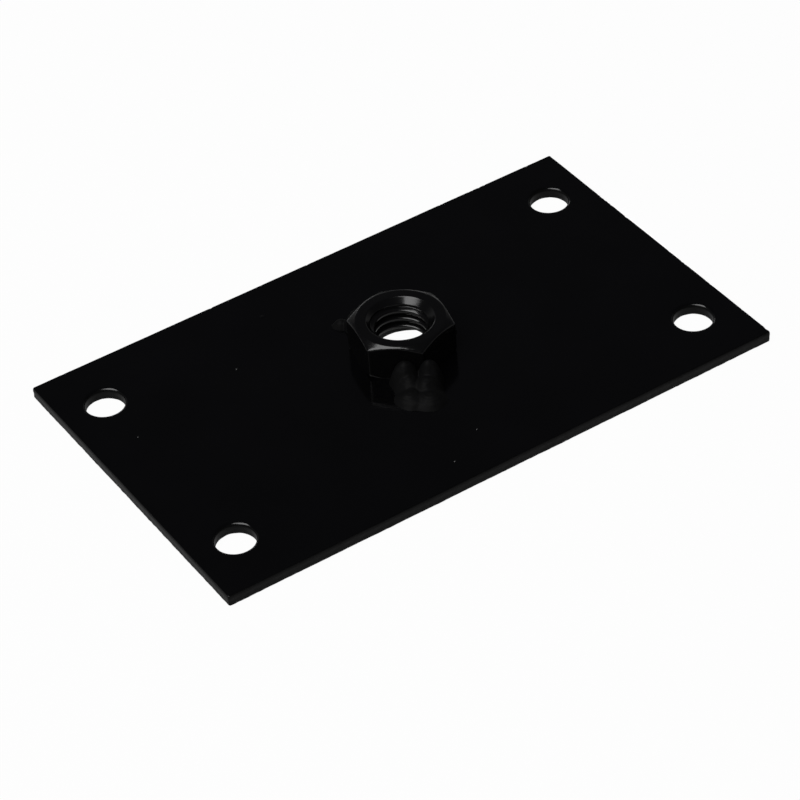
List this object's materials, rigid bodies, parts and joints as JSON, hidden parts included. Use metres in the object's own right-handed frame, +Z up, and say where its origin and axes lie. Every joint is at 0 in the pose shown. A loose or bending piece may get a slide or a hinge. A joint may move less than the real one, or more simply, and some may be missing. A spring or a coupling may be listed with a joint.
{
  "type": "motor mounting bracket",
  "caption": "Flat rectangular steel mounting plate with corner bolt holes and a thin threaded hexagon nut welded over its middle hole.",
  "frame": {"origin": "middle of the plate's underside, with the plate lying flat", "axes": "+X along the plate's long side, +Y along its short side, +Z up, out of the face that carries the nut"},
  "size_m": [0.127, 0.0762, 0.0103],
  "materials": {
    "black_plate": "glossy black paint over sheared and punched steel sheet",
    "black_nut": "glossy black paint over a cold formed steel nut",
    "black_weld": "glossy black paint over rippled weld metal"
  },
  "bodies": {
    "root": {"mounting_plate": "black_plate", "weld_nut": "black_nut", "front_weld_bead": "black_weld", "left_weld_bead": "black_weld", "right_weld_bead": "black_weld"}
  },
  "joints": []
}
